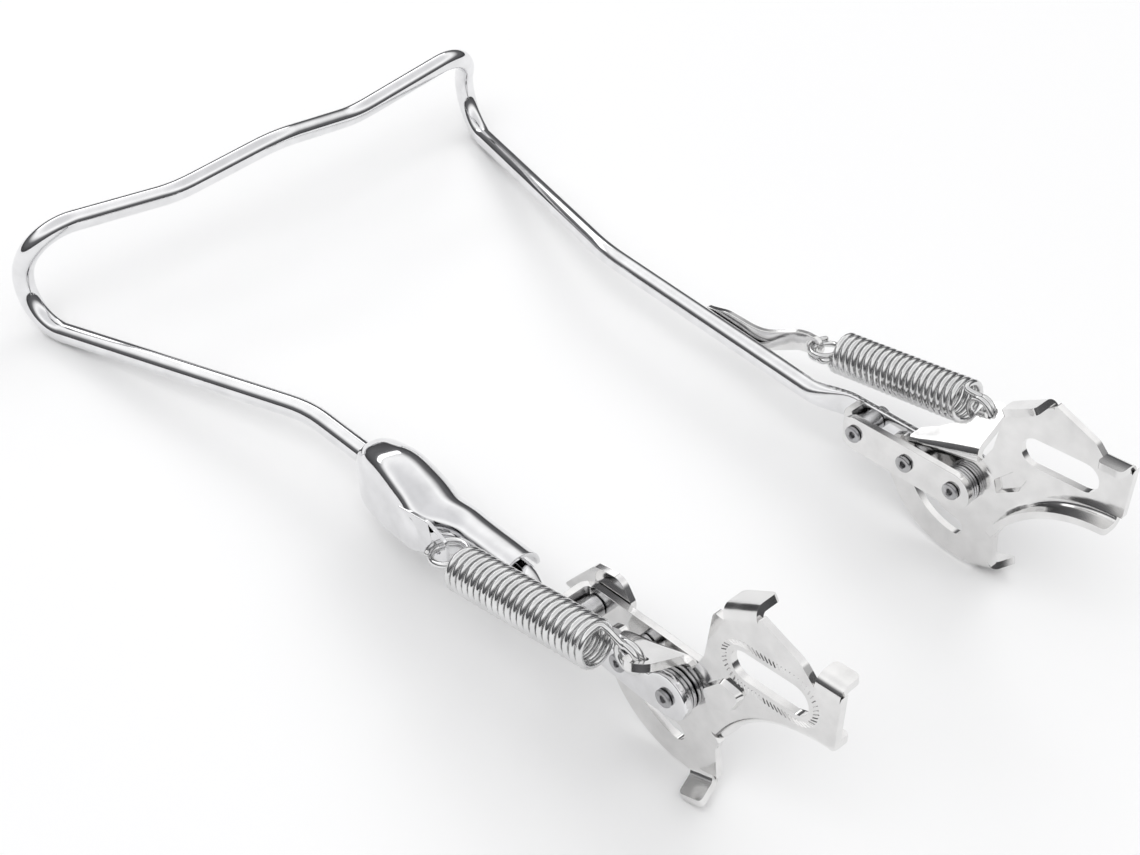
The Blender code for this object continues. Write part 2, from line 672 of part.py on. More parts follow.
def set_down(stand, pieces):
    """Leans the stand about X until brackets and leg frame both touch the floor, and puts it down at Z = 0
    with the middle of its length at Y = 0."""
    bpy.context.view_layer.update()
    graph = bpy.context.evaluated_depsgraph_get()
    brackets, frame, everything = [], [], []
    for piece in pieces:
        evaluated = piece.evaluated_get(graph)
        corners = [evaluated.matrix_world @ vertex.co for vertex in evaluated.data.vertices]
        everything += corners
        if piece.name.endswith("axle_bracket"):
            brackets += corners
        if piece.name == "leg_frame":
            frame += corners

    def height(corner, lean):
        return corner.y * math.sin(lean) + corner.z * math.cos(lean)

    low, high = LEAN_LIMITS
    for _ in range(40):
        lean = (low + high) / 2
        if min(height(c, lean) for c in frame) < min(height(c, lean) for c in brackets):
            low = lean
        else:
            high = lean
    along = [c.y * math.cos(lean) - c.z * math.sin(lean) for c in everything]
    stand.rotation_euler.x = lean
    stand.location = (0.0, -(min(along) + max(along)) / 2, -min(height(c, lean) for c in everything))


def main():
    for obj in list(bpy.data.objects):
        bpy.data.objects.remove(obj)
    materials = make_materials()
    make_leg_frame(materials)
    for label, side in SIDES.items():
        make_bracket(label, side, materials["sheet"])
        make_strap(label, side, materials["sheet"])
        make_hinge(label, side, materials)
        make_spring(label, side, materials)
    make_lug(materials["sheet"])
    make_pedal(materials["pedal"])
    make_anchor(materials["sheet"])

    # the empty on the hinge line carries everything, so that the whole stand leans with it
    everything = list(bpy.data.objects)
    stand = bpy.data.objects.new("hinge_line", None)
    bpy.context.scene.collection.objects.link(stand)
    for obj in everything:
        obj.parent = stand
    set_down(stand, [obj for obj in everything if not obj.name.startswith("cut_")])


main()
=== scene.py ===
"""Looks for the double-leg bicycle stand: fine meshes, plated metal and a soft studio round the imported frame.

Shapes are laid out in the leg frame, in millimetres: X across, Y from the hinge line to the foot bar, Z up out
of the plane of the legs. LEG_TO_ROW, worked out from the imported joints, puts them into the row frame in metres.
"""

import json
import math

import bmesh
import bpy
from mathutils import Matrix, Vector


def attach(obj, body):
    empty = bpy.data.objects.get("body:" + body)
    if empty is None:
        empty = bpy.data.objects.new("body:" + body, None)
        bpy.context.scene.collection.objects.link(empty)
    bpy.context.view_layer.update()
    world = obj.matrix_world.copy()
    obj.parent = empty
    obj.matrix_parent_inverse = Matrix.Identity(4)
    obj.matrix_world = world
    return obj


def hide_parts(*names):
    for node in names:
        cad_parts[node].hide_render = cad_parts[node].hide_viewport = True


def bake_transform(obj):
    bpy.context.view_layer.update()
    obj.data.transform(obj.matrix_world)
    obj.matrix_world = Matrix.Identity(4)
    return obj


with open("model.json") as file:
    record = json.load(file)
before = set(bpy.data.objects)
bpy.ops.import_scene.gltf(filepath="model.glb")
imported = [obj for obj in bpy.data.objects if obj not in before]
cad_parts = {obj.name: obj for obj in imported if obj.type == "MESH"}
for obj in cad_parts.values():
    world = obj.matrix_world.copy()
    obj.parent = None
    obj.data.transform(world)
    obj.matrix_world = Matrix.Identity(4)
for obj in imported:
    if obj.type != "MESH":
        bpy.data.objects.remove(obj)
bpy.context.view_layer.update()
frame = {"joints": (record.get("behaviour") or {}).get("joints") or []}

MM = 0.001
SIDES = {"left": -1.0, "right": 1.0}

# ---- driving dimensions, mm ----------------------------------------------------------------------------------
# A value that the CAD model also has is the same there, unless its comment says otherwise.

SHEET = 2.5
STRAP_X = 58.8
BRACKET_X = 65.0
BLADE_X = 70.6
BLADE_T = 3.0
ROD_R = 4.0

LEG_END = Vector((67.6, 60.0, -1.6))
LEG_BEND = Vector((71.2, 176.8, 4.5))
FOOT_LOW = Vector((112.3, 317.5, -4.9))
FOOT_HIGH = Vector((103.3, 296.0, 38.2))
BAR_DIP = Vector((42.9, 297.5, 28.9))
BAR_PEAK = Vector((0.0, 290.5, 37.4))

EYE_R = 8.2
BLADE_TOP = 3.8
EYE_TO_BLADE = math.sqrt(EYE_R ** 2 - BLADE_TOP ** 2)      # where the eye's circle meets the blade's top
BLADE_LOW = -8.6
BLADE_FLAT_END = 52.0          # the flat is full width up to here, and the rod is round from ROUND_START on
ROUND_START = 70.0

STOP_Y = 19.5
REAR_Y = 41.5
RIVET_R = 1.9
RIVET_HEAD_R = 3.1
RIVET_HOLE_R = 2.2
SLEEVE_R = 3.1
SPACER_R = 3.8
INNER_WASHER_R = 6.8
OUTER_WASHER_R = 7.4
LUG_T = 2.2
GAP = 0.3

DISC_R = 32.0
STOP_SLOT_HALF = 3.4
STOP_TRAVEL = 86.0
AXLE_SLOT_CENTRE = (-33.4, 27.3)
AXLE_SLOT_LENGTH = 28.6
AXLE_SLOT_WIDTH = 10.6
AXLE_SLOT_TILT = math.radians(-3.6)
FRONT_CORNER = Vector((-12.3, 41.2))
TOP_CORNER = Vector((-27.0, 50.2))
REAR_NOTCH = Vector((-46.5, 41.2))
REAR_CORNER = Vector((-58.4, 42.0))
ARC_CENTRE = Vector((-57.4, -28.5))
ARC_R = 44.5
HOOK_LOW = Vector((-16.0, -30.2))
HOOK_HIGH = Vector((-5.8, -34.2))
NOTCH = Vector((-14.6, -15.4))
BUMP = [(-10.8, 8.2), (-17.2, 15.4), (-23.8, 14.8), (-21.0, 8.0), (-12.6, 2.2)]
BUMP_RISE = 1.9                # 1.0 in the CAD model
BUMP_SPREAD = 1.06             # size of the bump's foot against BUMP, and below of its flat top
BUMP_TOP = 0.86
FLANGE_FROM = 88.0             # degrees round ARC_CENTRE, 84 in the CAD model
FLANGE_TO = 24.0
TAB_CORNER = 1.6
FRONT_TAB = 5.9                # straight length of each bent part, past its bend
REAR_TAB = 4.6
FLANGE = 4.4
STOP_HOOK = 7.0

EAR_START = Vector((30.5, 3.4))
EAR_END = Vector((-9.0, 17.8))
EAR_TILT = math.radians(21.0)
EAR_HOLE = (31.0, 14.0)
EAR_LIP = 0.4
# the ear's bend gets rounder along it, unlike in the CAD model: distance along the bend line and radius
EAR_BENDS = [(7.0, 1.5), (9.0, 1.5), (11.0, 1.6), (13.5, 2.2), (16.0, 3.0), (20.0, 3.8), (24.0, 4.2), (28.0, 4.4),
             (32.0, 4.4), (35.5, 4.4)]
HOLE_R = 2.4

PEDAL_HOLE = Vector((82.2, 93.6, 3.0))
PEDAL_WALL = 1.5
ANCHOR_HOLE = Vector((82.3, 80.5, 4.9))
ANCHOR_T = 2.2
COIL_LENGTH = {"left": 64.0, "right": 58.0}
COIL_TURNS = {"left": 22, "right": 21}         # the CAD model has 22 ribs on both
SPRING_OD = 16.0
COIL_OUT = 2.2                 # how far the coil's axis stands outside the line between its holes, 0 in the CAD
WIRE_R = 1.12                  # 1.2 in the CAD model's loops, and 1.3 as half the wall of its coils
EAR_LOOP_R = 4.8               # both kinds of loop are 4.6 in the CAD model
LEG_LOOP_R = 6.0

# radii of the rod's bends, rounder than in the CAD model
LEG_R, FOOT_R, DIP_R, PEAK_R = 60.0, 17.0, 40.0, 36.0
BEND_R = SHEET / 2 + 1.7       # the sheet's bends, at the middle of its thickness, rounder than in the CAD model
SETBACK = BEND_R + SHEET / 2   # how far a bend starts inside the outer face of what is turned

# ---- studio: the camera in the leg frame, the lights in metres ------------------------------------------------

CAMERA_EYE = Vector((-330.3, -251.4, 387.9))
CAMERA_RIGHT = Vector((0.7364, -0.6766, -0.0221))
CAMERA_DOWN = Vector((-0.4349, -0.4488, -0.7808))
CAMERA_LENS = 56.84
# name: place, target, size, power in watts, seen in reflections
LIGHTS = {
    "key": ((-1.5, -0.8, 3.2), (0.0, 0.0, 0.0), (2.4, 1.8), 30.0, False),
    "fill": ((2.6, 1.2, 2.4), (0.0, 0.0, 0.0), (2.0, 2.0), 18.0, False),
    "strip": ((0.2, 1.3, 0.8), (0.0, 0.1, 0.0), (1.6, 0.25), 2.0, True),
}
# height on the sky (0 to 1) and colour, from the horizon up
SKY = [(0.0, (0.05, 0.05, 0.052)), (0.34, (0.12, 0.12, 0.125)), (0.68, (1.0, 1.0, 1.0)), (0.95, (0.72, 0.72, 0.73))]
SKY_STRENGTH = 1.15
BACKDROP = (0.93, 0.93, 0.94)
FLOOR_SIZE = 15.0
FLOOR_DROP = 0.0004


SHARP_EDGE = 40.0              # degrees, from which soften rounds an edge
# the domed end of a wire: how far past its end and how thick, both as parts of its radius
DOME = ((0.55, 0.83), (0.9, 0.4))
# a bent edge's last rows: how far back from the end and in from the sides, both as parts of the corner
CORNER_ROWS = ((1.0, 0.0), (0.62, 0.08), (0.29, 0.29), (0.08, 0.62), (0.0, 1.0))
PLAIN_ROW = ((0.0, 0.0),)


# ---- from the leg frame to the row frame ---------------------------------------------------------------------

def joint(name):
    return next(j for j in frame["joints"] if j["name"] == name)


hinge = Vector(joint("left_bracket_hinge")["pos_m"])
swing = Vector(joint("left_spring_swing")["pos_m"])
lean = math.atan2(swing.z - hinge.z, swing.y - hinge.y) - math.atan2(PEDAL_HOLE.z, PEDAL_HOLE.y)
LEG_TO_ROW = Matrix.Translation((0.0, hinge.y, hinge.z)) @ Matrix.Rotation(lean, 4, "X") @ Matrix.Scale(MM, 4)


# ---- materials -----------------------------------------------------------------------------------------------

def plated_metal(name, colour, roughness, spread, wave, grain, tarnish=0.06):
    """Plated metal. roughness varies by spread in soft patches; wave is how far the surface undulates, grain is
    the depth of fine rub marks, and tarnish darkens it a little in clouds."""
    material = bpy.data.materials.new(name)
    material.use_nodes = True
    tree = material.node_tree
    nodes, links = tree.nodes, tree.links
    shader = nodes["Principled BSDF"]
    shader.inputs["Metallic"].default_value = 1.0
    place = nodes.new("ShaderNodeTexCoord").outputs["Object"]

    def noise(scale, detail, stretch=(1.0, 1.0, 1.0)):
        mapping = nodes.new("ShaderNodeMapping")
        mapping.inputs["Scale"].default_value = stretch
        links.new(place, mapping.inputs["Vector"])
        texture = nodes.new("ShaderNodeTexNoise")
        texture.inputs["Scale"].default_value = scale
        texture.inputs["Detail"].default_value = detail
        links.new(mapping.outputs["Vector"], texture.inputs["Vector"])
        return texture.outputs["Fac"]

    def remap(value, low, high):
        node = nodes.new("ShaderNodeMapRange")
        node.inputs["From Min"].default_value = 0.3
        node.inputs["From Max"].default_value = 0.7
        node.inputs["To Min"].default_value = low
        node.inputs["To Max"].default_value = high
        links.new(value, node.inputs["Value"])
        return node.outputs["Result"]

    def bump(height, strength, distance, before=None):
        node = nodes.new("ShaderNodeBump")
        node.inputs["Strength"].default_value = strength
        node.inputs["Distance"].default_value = distance
        links.new(height, node.inputs["Height"])
        if before is not None:
            links.new(before, node.inputs["Normal"])
        return node.outputs["Normal"]

    clouds = noise(55.0, 3.0)
    links.new(remap(clouds, roughness - spread, roughness + spread), shader.inputs["Roughness"])
    mix = nodes.new("ShaderNodeMix")
    mix.data_type = "RGBA"
    mix.inputs["A"].default_value = (*[c * (1.0 - tarnish * 2) for c in colour], 1.0)
    mix.inputs["B"].default_value = (*colour, 1.0)
    links.new(remap(noise(140.0, 4.0), 0.0, 1.0), mix.inputs["Factor"])
    links.new(mix.outputs["Result"], shader.inputs["Base Color"])
    undulation = bump(noise(70.0, 1.5), 1.0, wave * MM)
    marks = bump(noise(900.0, 5.0, (1.0, 0.12, 1.0)), 1.0, grain * MM, undulation)
    links.new(marks, shader.inputs["Normal"])
    return material


MATERIALS = {
    "chrome_rod": plated_metal("chrome_rod", (0.86, 0.86, 0.87), 0.075, 0.02, 0.05, 0.0020),
    "nickel_sheet": plated_metal("nickel_sheet", (0.83, 0.825, 0.82), 0.12, 0.035, 0.16, 0.0035),
    "rivet_steel": plated_metal("rivet_steel", (0.50, 0.50, 0.51), 0.30, 0.08, 0.10, 0.010, 0.15),
    "washer_steel": plated_metal("washer_steel", (0.66, 0.66, 0.67), 0.24, 0.06, 0.06, 0.006, 0.10),
    "spring_wire": plated_metal("spring_wire", (0.80, 0.80, 0.80), 0.14, 0.04, 0.03, 0.004, 0.08),
    "chrome_pedal": plated_metal("chrome_pedal", (0.85, 0.85, 0.86), 0.085, 0.03, 0.12, 0.0030),
}


# ---- turning meshes into pieces ------------------------------------------------------------------------------

def piece(name, bm, slot, body, nodes, auto):
    """A shown piece from a bmesh in leg-frame mm: it rides on body and stands for the CAD nodes. Edges sharper
    than auto degrees are shaded as edges. A blended piece has no body of its own here."""
    bmesh.ops.recalc_face_normals(bm, faces=bm.faces)
    mesh = bpy.data.meshes.new(name)
    bm.to_mesh(mesh)
    bm.free()
    mesh.transform(LEG_TO_ROW)
    mesh.shade_smooth()
    mesh.set_sharp_from_angle(angle=math.radians(auto))
    mesh.materials.append(MATERIALS[slot])
    obj = bpy.data.objects.new(name, mesh)
    bpy.context.scene.collection.objects.link(obj)
    if body is not None:
        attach(obj, body)
    if nodes:
        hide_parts(*nodes)
    return obj


def soften(obj, width, segments=3):
    """Rounds an object's sharp edges."""
    bevel = obj.modifiers.new("edge", "BEVEL")
    bevel.width = width * MM
    bevel.segments = segments
    bevel.limit_method = "ANGLE"
    bevel.angle_limit = math.radians(SHARP_EDGE)
    bevel.harden_normals = True
    return obj


def thicken(obj, thickness):
    """Gives a sheet its thickness, half on each side."""
    solid = obj.modifiers.new("sheet", "SOLIDIFY")
    solid.thickness = thickness * MM
    solid.offset = 0.0
    solid.use_quality_normals = True
    return obj


def ring_faces(bm, one, two):
    """Faces between two closed loops of vertices."""
    count = len(one)
    for i in range(count):
        j = (i + 1) % count
        bm.faces.new((one[i], one[j], two[j], two[i]))


def strip_faces(bm, one, two):
    """Faces between two open rows of vertices."""
    for i in range(len(one) - 1):
        bm.faces.new((one[i], one[i + 1], two[i + 1], two[i]))


def loft(bm, rings):
    """Joins closed rings of points and closes both ends."""
    loops = [[bm.verts.new(p) for p in ring] for ring in rings]
    for one, two in zip(loops, loops[1:]):
        ring_faces(bm, one, two)
    bm.faces.new(loops[0])
    bm.faces.new(loops[-1])


def arc(centre, radius, start, end, count):
    """Points along an arc, from start to end degrees."""
    points = []
    for i in range(count + 1):
        angle = math.radians(start + (end - start) * i / count)
        points.append(Vector((centre[0] + radius * math.cos(angle), centre[1] + radius * math.sin(angle))))
    return points


def ring_hole(y, z, radius, count=20):
    """Points of a whole circle."""
    return arc((y, z), radius, 0, 360 - 360 / count, count - 1)


def rounded(corners, steps=5):
    """Points of an open outline through corners (y, z, radius); the first and last are left out."""
    points = []
    for i in range(1, len(corners) - 1):
        y, z, radius = corners[i]
        here = Vector((y, z))
        if radius == 0:
            points.append(here)
            continue
        before = Vector(corners[i - 1][:2]) - here
        after = Vector(corners[i + 1][:2]) - here
        reach = min(radius / math.tan(before.angle(after) / 2), 0.45 * before.length, 0.45 * after.length)
        a, b = here + before.normalized() * reach, here + after.normalized() * reach
        for k in range(steps + 1):
            t = k / steps
            points.append(a * (1 - t) ** 2 + here * 2 * t * (1 - t) + b * t ** 2)
    return points


def smooth_path(points, per_span=8):
    """A Catmull-Rom curve through points."""
    path = []
    count = len(points)
    for i in range(count - 1):
        p0, p1 = points[max(i - 1, 0)], points[i]
        p2, p3 = points[i + 1], points[min(i + 2, count - 1)]
        for k in range(per_span):
            t = k / per_span
            path.append(0.5 * (2 * p1 + (p2 - p0) * t + (2 * p0 - 5 * p1 + 4 * p2 - p3) * t * t
                               + (3 * p1 - p0 - 3 * p2 + p3) * t ** 3))
    path.append(points[-1])
    return path


def path_tangents(path):
    return [(path[min(i + 1, len(path) - 1)] - path[max(i - 1, 0)]).normalized() for i in range(len(path))]


def fill(bm, loops):
    """Fills a flat region bounded by closed loops of vertices."""
    edges = []
    for loop in loops:
        for i, vertex in enumerate(loop):
            other = loop[(i + 1) % len(loop)]
            edges.append(bm.edges.get((vertex, other)) or bm.edges.new((vertex, other)))
    bmesh.ops.triangle_fill(bm, edges=edges, use_beauty=True, use_dissolve=False)


def wire(bm, path, radius, sides=10):
    """A round wire along a dense path, its ends domed."""
    tangents = path_tangents(path)
    across = tangents[0].orthogonal().normalized()
    rings = []

    def ring(centre, tangent, r):
        other = tangent.cross(across)
        return [centre + r * (across * math.cos(a) + other * math.sin(a))
                for a in (2 * math.pi * k / sides for k in range(sides))]

    for i, (point, tangent) in enumerate(zip(path, tangents)):
        across = (across - tangent * across.dot(tangent)).normalized()
        if i == 0:
            rings += [ring(point - tangent * radius * s, tangent, radius * c) for s, c in reversed(DOME)]
        rings.append(ring(point, tangent, radius))
        if i == len(path) - 1:
            rings += [ring(point + tangent * radius * s, tangent, radius * c) for s, c in DOME]
    loft(bm, rings)


def turned(bm, profile, y, z, side, sides=48):
    """A closed profile of (x, radius) turned about an X line."""
    loops = []
    for k in range(sides):
        angle = 2 * math.pi * k / sides
        c, s = math.cos(angle), math.sin(angle)
        loops.append([bm.verts.new((side * x, y + r * c, z + r * s)) for x, r in profile])
    for k in range(sides):
        ring_faces(bm, loops[k], loops[(k + 1) % sides])


# ---- leg frame: one rod, both ends flattened -----------------------------------------------------------------

def bent_path(corners, step_deg=4.0):
    """A centre line through corners (point, radius), every bend a true arc."""
    path = [corners[0][0]]
    for i in range(1, len(corners) - 1):
        here, radius = corners[i]
        back = (corners[i - 1][0] - here).normalized()
        ahead = (corners[i + 1][0] - here).normalized()
        turn = math.pi - back.angle(ahead)
        reach = radius * math.tan(turn / 2)
        centre = here + (back + ahead).normalized() * radius / math.cos(turn / 2)
        start = here + back * reach - centre
        axis = start.cross(here + ahead * reach - centre).normalized()
        steps = max(3, round(math.degrees(turn) / step_deg))
        for k in range(steps + 1):
            path.append(centre + Matrix.Rotation(turn * k / steps, 3, axis) @ start)
    path.append(corners[-1][0])
    return path


def ease(t):
    """A smooth step from 0 to 1."""
    t = min(max(t, 0.0), 1.0)
    return t * t * (3 - 2 * t)


def blade_section(y):
    """Middle (x, z), half thickness, half height and squareness of the flattened end at y."""
    if y < EYE_TO_BLADE:
        top = math.sqrt(max(EYE_R ** 2 - y ** 2, 0.0))
    else:
        top = BLADE_TOP - 0.4 * ease((y - 12) / 38)
    if y < 0:
        low = -math.sqrt(max(EYE_R ** 2 - y ** 2, 0.0))
    else:
        low = -EYE_R + (BLADE_LOW + EYE_R) * ease(y / 9) + 2.2 * max(0.0, (y - 9) / 42)
    t = ease((y - BLADE_FLAT_END) / (ROUND_START - BLADE_FLAT_END))
    leg = rod_centre(y)
    middle_x = (BLADE_X + BLADE_T / 2) * (1 - t) + leg.x * t
    middle_z = (top + low) / 2 * (1 - t) + leg.z * t
    half_x = BLADE_T / 2 * (1 - t) + ROD_R * t
    half_z = (top - low) / 2 * (1 - t) + ROD_R * t
    return middle_x, middle_z, half_x, max(half_z, 0.05), 6.0 - 4.0 * t


def rod_centre(y):
    """The middle of the straight part of the right leg at y."""
    return LEG_END.lerp(LEG_BEND, (y - LEG_END.y) / (LEG_BEND.y - LEG_END.y))


def blade_ring(y, side, angles):
    """The flattened end's section at y, as a rounded rectangle that becomes a circle."""
    middle_x, middle_z, half_x, half_z, power = blade_section(y)
    ring = []
    for angle in angles:
        c, s = math.cos(angle), math.sin(angle)
        x = half_x * math.copysign(abs(c) ** (2 / power), c)
        z = half_z * math.copysign(abs(s) ** (2 / power), s)
        ring.append(Vector((side * middle_x + x, y, middle_z + z)))
    return ring


def make_leg_frame():
    start = rod_centre(ROUND_START)
    half = [(start, 0.0), (LEG_BEND, LEG_R), (FOOT_LOW, FOOT_R), (FOOT_HIGH, FOOT_R), (BAR_DIP, DIP_R)]
    mirrored = [(Vector((-p.x, p.y, p.z)), radius) for p, radius in half]
    path = bent_path(mirrored + [(BAR_PEAK, PEAK_R)] + half[::-1])
    sides = 40
    angles = [2 * math.pi * k / sides for k in range(sides)]
    along_blade = [-EYE_R * math.cos(math.radians(a)) for a in range(6, 91, 7)]
    along_blade += [3.0, 6.0, 7.3, 9.0, 14.0, 30.0, 46.0] + [BLADE_FLAT_END + k * 2.0 for k in range(9)]

    rings = [blade_ring(y, -1.0, angles) for y in along_blade]
    across = Vector((1.0, 0.0, 0.0))
    tangents = path_tangents(path)
    for point, tangent in zip(path, tangents):
        across = (across - tangent * across.dot(tangent)).normalized()
        up = across.cross(tangent)
        rings.append([point + ROD_R * (across * math.cos(a) + up * math.sin(a)) for a in angles])
    centre = path[-1]
    ends = [math.atan2(p.z - centre.z, p.x - centre.x) for p in rings[-1]]
    rings += [blade_ring(y, 1.0, ends) for y in reversed(along_blade)]
    bm = bmesh.new()
    loft(bm, rings)
    piece("rod_frame", bm, "chrome_rod", "stand", ["leg_frame"], 50.0)


# ---- sheet parts: a flat middle surface with bent edges, thickened ---------------------------------------------

def bend_edge(bm, chain, place, angle, radius, length, steps=7, corner=TAB_CORNER):
    """Bends an edge over: place(vertex_index, out, rise) maps how far a row lies out in the sheet's own
    direction and how far it has risen off the plane. radius is one number, or one for each vertex of the edge,
    and corner rounds the two free corners. Returns the last row."""
    last = chain
    radii = radius if isinstance(radius, list) else [radius] * len(chain)
    for k in range(1, steps + 1):
        a = angle * k / steps
        row = [bm.verts.new(place(i, r * math.sin(a), r * (1 - math.cos(a)))) for i, r in enumerate(radii)]
        strip_faces(bm, last, row)
        last = row
    for back, inset in CORNER_ROWS if corner else PLAIN_ROW:
        run = length - corner * back
        places = [Vector(place(i, r * math.sin(angle) + run * math.cos(angle),
                               r * (1 - math.cos(angle)) + run * math.sin(angle))) for i, r in enumerate(radii)]
        for end, beside in ((0, 1), (-1, -2)):
            places[end] += (places[beside] - places[end]).normalized() * corner * inset
        row = [bm.verts.new(p) for p in places]
        strip_faces(bm, last, row)
        last = row
    return last


def slot_outline(centre, length, width, tilt, steps=12):
    """A straight slot with round ends."""
    half = (length - width) / 2
    turn = math.degrees(tilt)
    points = []
    for sign, start in ((1, -90), (-1, 90)):
        middle = (centre[0] + sign * half * math.cos(tilt), centre[1] + sign * half * math.sin(tilt))
        points += arc(middle, width / 2, start + turn, start + 180 + turn, steps)
    return points


def curved_slot(radius, half_width, start, end, steps=24):
    """A slot along an arc about the hinge, with round ends."""
    turn = 180 * math.copysign(1, end - start)
    points = []
    for edge, a, b, tip_from in ((half_width, start, end, end), (-half_width, end, start, start + turn)):
        points += arc((0, 0), radius + edge, a, b, steps)
        tip = (radius * math.cos(math.radians(b)), radius * math.sin(math.radians(b)))
        points += arc(tip, half_width, tip_from, tip_from + turn, 8)[1:-1]
    return points


def ear_hole_offset():
    """How far the spring hole's centre is outside the plate's outer face, and off the ear's bend line."""
    lift = SHEET / 2
    return (EAR_HOLE[1] * math.cos(EAR_TILT) + lift * math.sin(EAR_TILT),
            EAR_HOLE[1] * math.sin(EAR_TILT) - lift * math.cos(EAR_TILT))


def make_bracket(label, side):
    """The stamped bracket: plate, spring ear, two tabs, turned edge along the arc, stop hook and bump."""
    bm = bmesh.new()
    mid = BRACKET_X + SHEET / 2

    def vertex(point, rise=0.0):
        return bm.verts.new((side * (mid + rise), point[0], point[1]))

    along_ear = (EAR_END - EAR_START).normalized()
    ear_normal = Vector((-along_ear.y, along_ear.x)) * -1
    bend = math.pi / 2 - EAR_TILT
    hole_out, hole_up = ear_hole_offset()
    ear_points = []
    for s, radius in EAR_BENDS:
        out = radius * math.sin(bend) + EAR_LIP * math.cos(bend)
        rise = radius * (1 - math.cos(bend)) + EAR_LIP * math.sin(bend)
        back = out + (SHEET / 2 + hole_out - rise) * math.tan(EAR_TILT) - hole_up
        ear_points.append(EAR_START + along_ear * s - ear_normal * back)

    def inset_edge(start, end, first, last, count):
        along = (end - start).normalized()
        normal = Vector((along.y, -along.x))
        if normal.y < 0:
            normal = -normal
        length = (end - start).length
        points = [start + along * (first + (length - first - last) * k / count) - normal * SETBACK
                  for k in range(count + 1)]
        return points, normal

    front_tab, front_normal = inset_edge(FRONT_CORNER, TOP_CORNER, 2.0, 1.2, 4)
    rear_tab, rear_normal = inset_edge(REAR_NOTCH, REAR_CORNER, 2.0, 1.2, 4)
    arc_edge = arc(ARC_CENTRE, ARC_R + SETBACK, FLANGE_FROM, FLANGE_TO, 20)
    end_angle = math.degrees(math.atan2(NOTCH.y - ARC_CENTRE.y, NOTCH.x - ARC_CENTRE.x))
    hook_along = (HOOK_HIGH - HOOK_LOW).normalized()
    hook_normal = Vector((hook_along.y, -hook_along.x))
    hook = [HOOK_LOW + hook_along * s - hook_normal * SETBACK for s in (0.5, 3.5, 7.0, 10.2)]

    corners = [
        (*arc((0, 0), DISC_R, -6, -6, 1)[0], 0), (*(EAR_START + along_ear * 1.5), 3.0),
        (*(EAR_START + along_ear * 5.6), 1.0), (*ear_points[0], 0),
    ]
    outline = rounded(corners)
    parts = [("edge", outline), ("ear", ear_points)]
    parts.append(("edge", rounded([
        (*ear_points[-1], 0), (*(ear_points[-1] + along_ear * 1.6 + ear_normal * 1.0), 1.2),
        (*(EAR_END + Vector((-0.2, 2.2))), 2.0), (*(FRONT_CORNER + Vector((0.3, -2.2))), 1.6), (*front_tab[0], 0)])))
    parts.append(("front", front_tab))
    parts.append(("edge", rounded([
        (*front_tab[-1], 0), (*(TOP_CORNER + Vector((-1.4, -2.2))), 1.6), (*(REAR_NOTCH + Vector((2.6, 0.9))), 5.0),
        (*rear_tab[0], 0)])))
    parts.append(("rear", rear_tab))
    parts.append(("edge", rounded([
        (*rear_tab[-1], 0), (*(REAR_CORNER + Vector((0.2, -1.4))), 1.6), (*(arc_edge[0] + Vector((-1.6, 0.1))), 0.5),
        (*arc_edge[0], 0)])))
    parts.append(("arc", arc_edge))
    parts.append(("edge", arc(ARC_CENTRE, ARC_R, FLANGE_TO - 1.5, end_angle, 5)
                  + rounded([(*NOTCH, 0), (*(HOOK_LOW + Vector((0.1, 2.0))), 1.0), (*hook[0], 0)])))
    parts.append(("hook", hook))
    parts.append(("edge", rounded([(*hook[-1], 0), (*(HOOK_HIGH + Vector((0.8, 2.0))), 0.8),
                                   (*arc((0, 0), DISC_R, -93, -93, 1)[0], 0)])
                  + arc((0, 0), DISC_R, -93, -6, 40)))

    loop, chains = [], {}
    for tag, points in parts:
        vertices = [vertex(p) for p in points]
        loop += vertices
        if tag != "edge":
            chains[tag] = vertices

    # holes, and the bump pressed out of the plate
    loops = [loop]
    axle_slot = slot_outline(AXLE_SLOT_CENTRE, AXLE_SLOT_LENGTH, AXLE_SLOT_WIDTH, AXLE_SLOT_TILT)
    loops.append([vertex(p) for p in axle_slot])
    loops.append([vertex(p) for p in curved_slot(STOP_Y, STOP_SLOT_HALF, 1.0, -STOP_TRAVEL - 1)])
    loops.append([vertex(p) for p in ring_hole(0.0, 0.0, RIVET_HOLE_R, 16)])
    middle = Vector((sum(p[0] for p in BUMP), sum(p[1] for p in BUMP))) / len(BUMP)
    closed = [(*p, 1.2) for p in BUMP]
    pressed = [middle + (p - middle) * BUMP_SPREAD for p in rounded([closed[-1]] + closed + [closed[0]], 3)]
    foot = [vertex(p) for p in pressed]
    head = [vertex(middle + (p - middle) * BUMP_TOP, BUMP_RISE) for p in pressed]
    loops.append(foot)
    fill(bm, loops)
    ring_faces(bm, foot, head)
    bm.faces.new(head)

    # ear: bent outwards to 21 degrees above level, then its flat with the spring hole
    def on_ear(i, out, rise):
        p = ear_points[i] + ear_normal * out
        return (side * (mid + rise), p.x, p.y)

    last = bend_edge(bm, chains["ear"], on_ear, bend, [r for _, r in EAR_BENDS], EAR_LIP, steps=9, corner=0.0)

    def ear_flat(s, w):
        run = w - EAR_HOLE[1]
        p = EAR_START + along_ear * s + ear_normal * (hole_up + run * math.sin(EAR_TILT))
        return bm.verts.new((side * (BRACKET_X + SHEET + hole_out + run * math.cos(EAR_TILT)), p.x, p.y))

